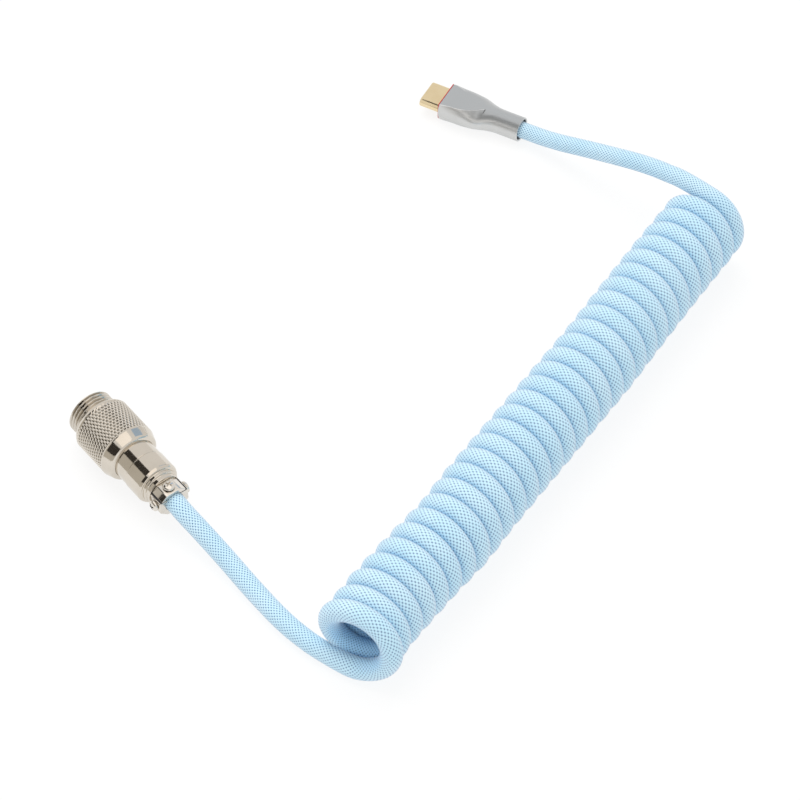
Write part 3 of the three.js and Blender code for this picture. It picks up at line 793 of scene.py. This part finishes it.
def clamp_screws():
    blank = screw_mesh()
    middle_x = CLAMP_START + CLAMP_LENGTH / 2
    places = {
        "top": ((0, 0, 1), CLAMP_HALF_HEIGHT),
        "left": ((0, -1, 0), CLAMP_HALF_WIDTH),
        "right": ((0, 1, 0), CLAMP_HALF_WIDTH),
    }
    for name, (outward, seat) in places.items():
        turn = Vector((1, 0, 0)).rotation_difference(Vector(outward)).to_matrix().to_4x4()
        spin = Matrix.Rotation(math.radians(25), 4, "X")
        place = Matrix.Translation(Vector((middle_x, 0, 0)) + Vector(outward) * seat)
        mesh = blank.copy()
        mesh.transform(CONNECTOR @ place @ turn @ spin)
        piece = bpy.data.objects.new(f"screw_{name}_panhead", mesh)
        bpy.context.scene.collection.objects.link(piece)
        stands_for(piece, "nickel_plate", f"clamp_screw_{name}")


def strain_sleeve():
    """A shrunk-on tube, with a flat of the same rubber between the clamp's jaws."""
    corners = [(23.8, 2.15), (23.8, 2.6), (33.2, 2.6), (33.2, 2.15)]
    tube_points, tube_faces = skin([ring(x, r, 48) for x, r in rounded(corners, 0.15)], rows_closed=True)
    ends = (CLAMP_START + 0.1, CLAMP_START + CLAMP_LENGTH - 0.06)
    points, faces = [tube_points], [*tube_faces]
    for side in (-1, 1):
        slab_points, slab_faces = slab(ends, 1.35, 0.34)
        first = sum(map(len, points))
        points.append(slab_points + (0, side * 3.07, CLAMP_SPLIT_Z))
        faces += [tuple(first + k for k in face) for face in slab_faces]
    piece = finished("strain_sleeve_shrunk", np.vstack(points), faces, JACKET, CONNECTOR)
    return stands_for(piece, "cable_jacket", "strain_sleeve")


coupling_sleeve()
connector_body()
tail_shell()
contact_insert()
contact_pins()
clamp_jaws()
clamp_screws()
strain_sleeve()


# The flat plug.
def plug_shell():
    """A drawn tube with a rolled front lip."""
    profile = [(SHELL_LENGTH, 0), *SHELL_LIP, (SHELL_LIP[0][0], SHELL_WALL), (SHELL_LENGTH, SHELL_WALL)]
    rows = [across(x, slot_outline(SHELL_WIDTH - 2 * d, SHELL_HEIGHT - 2 * d)) for x, d in profile]
    points, faces = skin(rows, rows_closed=True)
    piece = finished("shell_drawn", points, faces, GOLD, PLUG)
    return stands_for(piece, "shell_gold", "plug_shell")


def housing_quarter(section, softness):
    """A quarter of the housing's ring, from the middle of the flat to the widest place.

    The round side leaves the flat at a raised ridge. Softness takes the ridge away.
    """
    x, flat, tall, wide, degrees = section
    flat *= 1 - SOFT_FLAT_LOSS * softness
    least = math.radians(degrees * (1 - softness))
    ridge = RIDGE_LIFT * (1 - softness) * min(1, x / RIDGE_RISE) if 0 < x < RIDGE_END else 0
    side = []
    for i in range(HOUSING_SIDE_STEPS + 1):
        angle = least + (math.pi / 2 - least) * i / HOUSING_SIDE_STEPS
        share = (math.sin(angle) - math.sin(least)) / (1 - math.sin(least))
        lift = ridge * max(0, 1 - i / RIDGE_LIFT_STEPS)
        height = tall * math.cos(angle) / math.cos(least) + lift
        side.append((flat + (wide - flat) * share + lift / 2, height))
    step = np.subtract(side[1], side[0])
    below = side[0] + step * min(0.5, RIDGE_EDGE / np.linalg.norm(step))
    inner = flat - min(2 * RIDGE_EDGE, 0.4 * flat)
    flat_part = [(inner * i / (HOUSING_FLAT_STEPS - 1), tall) for i in range(HOUSING_FLAT_STEPS)]
    return np.array([*flat_part, side[0], below, *side[1:]])


def round_all(creased, soft):
    """A ring's values in order all round it: the ridge is on the near top and the far bottom."""
    return [*soft, *creased[-2::-1], *soft[1:], *creased[-2:0:-1]]


def between(value, low, high):
    """How far a value is on its way from low to high, from 0 to 1."""
    return min(1, max(0, (value - low) / (high - low)))


def softness_at(x):
    return between(x, 0, SOFT_EDGE_START)


def housing_ring(section, inset=0.0):
    x, _, tall, wide, _ = section
    creased = housing_quarter(section, 0)
    soft = housing_quarter(section, softness_at(x))
    for quarter in (creased, soft):
        quarter *= (1 - inset / wide, 1 - inset / tall)
    far_top, far_bottom = soft, creased * (1, -1)
    near_bottom, near_top = soft * (-1, -1), creased * (-1, 1)
    outline = [*far_top, *far_bottom[-2::-1], *near_bottom[1:], *near_top[-2:0:-1]]
    return across(HOUSING_START + x, np.array(outline))


def quarter_marks(x, softness, has_step):
    """One quarter's marks: the top's painted shade, the ridge's painted highlight and the painted shade in the
    step where that highlight ends.
    """
    sides = HOUSING_SIDE_STEPS + 1
    highlight_end = RIDGE_END + RIDGE_STEP
    spread = max(softness, between(x, *PAINTED_TOP_SHADE_NECK))
    down = [spread * max(0, 1 - 1.3 * i / sides) for i in range(sides)]
    painted_top_shade = [*[1] * (HOUSING_FLAT_STEPS + 1), *down]
    painted_ridge_highlight = np.zeros(len(painted_top_shade))
    painted_ridge_highlight[HOUSING_FLAT_STEPS] = (1 - softness) * between(x, highlight_end, highlight_end - 0.1)
    # Painted shade in the step where the ridge ends.
    step = np.zeros(len(painted_top_shade))
    if has_step and abs(x - RIDGE_END) < 1.2 * RIDGE_STEP:
        step[HOUSING_FLAT_STEPS : HOUSING_FLAT_STEPS + RIDGE_LIFT_STEPS - 1] = 1
    return painted_top_shade, painted_ridge_highlight, step


def ring_marks(x):
    """The housing's marks at a place along it, each mark as one value for every point of the ring."""
    creased = quarter_marks(x, 0, True)
    soft = quarter_marks(x, softness_at(x), False)
    return [round_all(*pair) for pair in zip(creased, soft, strict=True)]


def round_like(outline, x, radius, height=None):
    """An ellipse with as many points as a housing ring has, each in about the same direction."""
    height = height or radius
    angle = np.arctan2(outline[:, 2] / height, outline[:, 1] / radius)
    return across(x, np.column_stack([radius * np.cos(angle), height * np.sin(angle)]))


def plug_collar():
    """A sleeve in the housing's mouth, with a flange that shows as a line round the housing's front."""
    flange_end = HOUSING_START - COLLAR_GAP
    rear = COLLAR_START + COLLAR_LENGTH
    limit = np.array((math.inf, COLLAR_HALF_WIDTH, math.inf))
    rows = []
    for x, inset in ((COLLAR_START, 0.1), (COLLAR_START + 0.06, 0), (flange_end, 0)):
        outline = housing_ring(HOUSING_SECTIONS[0], inset) + (x - HOUSING_START, 0, 0)
        rows.append(np.clip(outline, -limit, limit))
    outside = COLLAR_SLEEVE
    inside = np.subtract(COLLAR_SLEEVE, COLLAR_WALL)
    sleeve = [(flange_end, outside), (rear, outside), (rear, inside), (COLLAR_START, inside)]
    rows += [round_like(rows[0], x, *half_sizes) for x, half_sizes in sleeve]
    points, faces = skin(rows, rows_closed=True)
    piece = finished("collar_moulded", points, faces, RED, PLUG)
    return stands_for(piece, "red_plastic", "plug_collar")


def housing_sections():
    """The sections in between, with one more on each side of the step that ends the ridge."""
    sections = catmull_rom(HOUSING_SECTIONS, 8)
    sections[:, 4] = np.clip(sections[:, 4], 9.5, 40)
    places = sections[:, 0]
    extra = [RIDGE_END - RIDGE_STEP, RIDGE_END - 0.001, RIDGE_END + 0.001, RIDGE_END + RIDGE_STEP]
    places = np.sort(np.concatenate([places, extra]))
    return np.stack([np.interp(places, sections[:, 0], column) for column in sections.T], axis=1)


def plug_housing():
    sections = housing_sections()
    outer = [housing_ring(s) for s in sections]
    front = housing_ring(sections[0], 0.06) - (0.06, 0, 0)
    mouth = housing_ring(sections[0], 0.3) - (0.06, 0, 0)
    deep = round_like(mouth, HOUSING_START + 3, 4.55, 1.66)
    rear = HOUSING_START + HOUSING_LENGTH
    rim = [housing_ring(sections[-1], 0.1) + (0.09, 0, 0)]
    for x, radius in ((0.12, 2.93), (0.05, 2.82), (-0.1, HOUSING_BORE), (-7, HOUSING_BORE)):
        rim.append(round_like(outer[-1], rear + x, radius))
    rows = [deep, mouth, front, *outer, *rim]
    points, faces = skin(rows, rows_closed=True)
    # The painted top shade, the ridge's painted highlight and the step's painted shade, as marks.
    marks = np.array([ring_marks(row[0, 0] - HOUSING_START) for row in rows])
    named_marks = {name: marks[:, k].ravel() for k, name in enumerate(("painted_top_shade", "painted_ridge_highlight", "step"))}
    piece = finished("housing_cast", points, faces, SATIN, PLUG, sharp=24, marks=named_marks)
    return stands_for(piece, "satin_zinc", "plug_housing")


plug_shell()
plug_collar()
plug_housing()

# The inner pieces keep their CAD shapes.
CARRIED_OVER = {
    "retaining_ring": SPRING,
    "latch_spring_left": SPRING,
    "latch_spring_right": SPRING,
    "contact_carrier": BLACK,
    "contact_comb_upper": CONTACT_GOLD,
    "contact_comb_lower": CONTACT_GOLD,
    "circuit_card": BOARD,
    "plug_crimp": NICKEL,
    "plug_cable_core": JACKET,
    "connector_cable_core": JACKET,
}
WIRE_COLOURS = [
    (0.45, 0.03, 0.03),
    (0.03, 0.2, 0.06),
    (0.8, 0.76, 0.68),
    (0.015, 0.015, 0.018),
    (0.5, 0.52, 0.55),
]
for number, colour in enumerate(WIRE_COLOURS, start=1):
    insulation = moulded(f"insulation_{number}", colour, 0.45)
    CARRIED_OVER[f"pin_wire_{number}"] = insulation
    if number < len(WIRE_COLOURS):
        CARRIED_OVER[f"card_wire_{number}"] = insulation
for node, material in CARRIED_OVER.items():
    frame["nodes"][node].data.materials[0] = material


# The studio.
def plain(name, colour, strength):
    """A card that glows evenly."""
    material = bpy.data.materials.new(name)
    material.use_nodes = True
    shader = next(n for n in material.node_tree.nodes if n.type == "BSDF_PRINCIPLED")
    shader.inputs["Base Color"].default_value = (0, 0, 0, 1)
    shader.inputs["Specular IOR Level"].default_value = 0
    shader.inputs["Emission Color"].default_value = (*colour, 1)
    shader.inputs["Emission Strength"].default_value = strength
    return material


def floor_paper():
    """Pale paper that glows a little, as on a lit table, so that shadows stay faint."""
    graph = Graph("floor_paper", {"Roughness": 0.9, "Specular IOR Level": 0.2})
    graph.shader.inputs["Base Color"].default_value = (0.16, 0.16, 0.16, 1)
    graph.shader.inputs["Emission Color"].default_value = (1, 1, 1, 1)
    graph.shader.inputs["Emission Strength"].default_value = 0.83
    return graph.material


def card(name, corners, material):
    """A sheet beside the set that only shows in reflections."""
    piece = finished(name, corners, [(0, 1, 2, 3)], material)
    piece.visible_camera = False
    piece.visible_diffuse = False
    piece.visible_shadow = False


def reflected_card(name, place, centre_x, distance, angles, reach, material):
    """A card round a connector: it spans angles from straight up to the near side, and metres along it."""
    along = (place.to_3x3() @ Vector((1, 0, 0))).normalized()
    near = (place.to_3x3() @ Vector((0, -1, 0))).normalized()
    centre = place @ Vector((centre_x, 0, 0))
    outward = [Vector((0, 0, math.cos(a))) + near * math.sin(a) for a in map(math.radians, angles)]
    corners = [centre + distance * outward[0] + along * end for end in reach]
    corners += [centre + distance * outward[1] + along * end for end in reach[::-1]]
    card(name, corners, material)


def studio():
    corners = [(-4, -4, 0), (4, -4, 0), (4, 4, 0), (-4, 4, 0)]
    floor = finished("floor", corners, [(0, 1, 2, 3)], floor_paper())
    black = plain("card_black", (0.045, 0.04, 0.035), 1)
    grey = plain("card_grey", (0.585, 0.552, 0.494), 1)
    dusk = plain("card_dusk", (0.2, 0.2, 0.195), 1)
    cream = plain("card_cream", (1, 0.95, 0.9), 1.3)
    blue = plain("card_blue", (0.46, 0.6, 0.78), 1)
    # Each card is one band of the metal's reflections: the connector's barrel, its cone, then the plug.
    cone_reach = (-0.03, 0.09)
    reflected_card("black_card", CONNECTOR, 18, 0.05, (12, 42), (-0.0405, -0.006), black)
    reflected_card("grey_card", CONNECTOR, 18, 0.05, (42, 96), (-0.0405, -0.006), grey)
    reflected_card("cone_black_card", CONNECTOR, 17.5, 0.09, (36, 72), cone_reach, black)
    reflected_card("cone_grey_card", CONNECTOR, 17.5, 0.09, (72, 98), cone_reach, grey)
    reflected_card("cone_cream_card", CONNECTOR, 17.5, 0.09, (-20, 27), cone_reach, cream)
    reflected_card("cone_blue_card", CONNECTOR, 17.5, 0.04, (-64, -33), (-0.0045, 0.0045), blue)
    reflected_card("plug_black_card", PLUG, 3, 0.03, (-8, 22), (-0.0135, -0.006), black)
    reflected_card("neck_dusk_card", PLUG, 12, 0.05, (10, 53), (-0.012, 0.012), dusk)
    world = bpy.data.worlds.new("studio")
    bpy.context.scene.world = world
    world.use_nodes = True
    background = world.node_tree.nodes["Background"]
    background.inputs["Color"].default_value = (0.885, 0.868, 0.85, 1)
    background.inputs["Strength"].default_value = 1.0
    key = bpy.data.objects.new("key", bpy.data.lights.new("key", "SUN"))
    key.data.energy = 1.2
    key.data.angle = math.radians(50)
    key.rotation_euler = Vector((-0.45, 0.25, 1)).to_track_quat("Z", "Y").to_euler()
    key.visible_glossy = False
    bpy.context.scene.collection.objects.link(key)
    bpy.context.scene.view_settings.view_transform = "Standard"


studio()
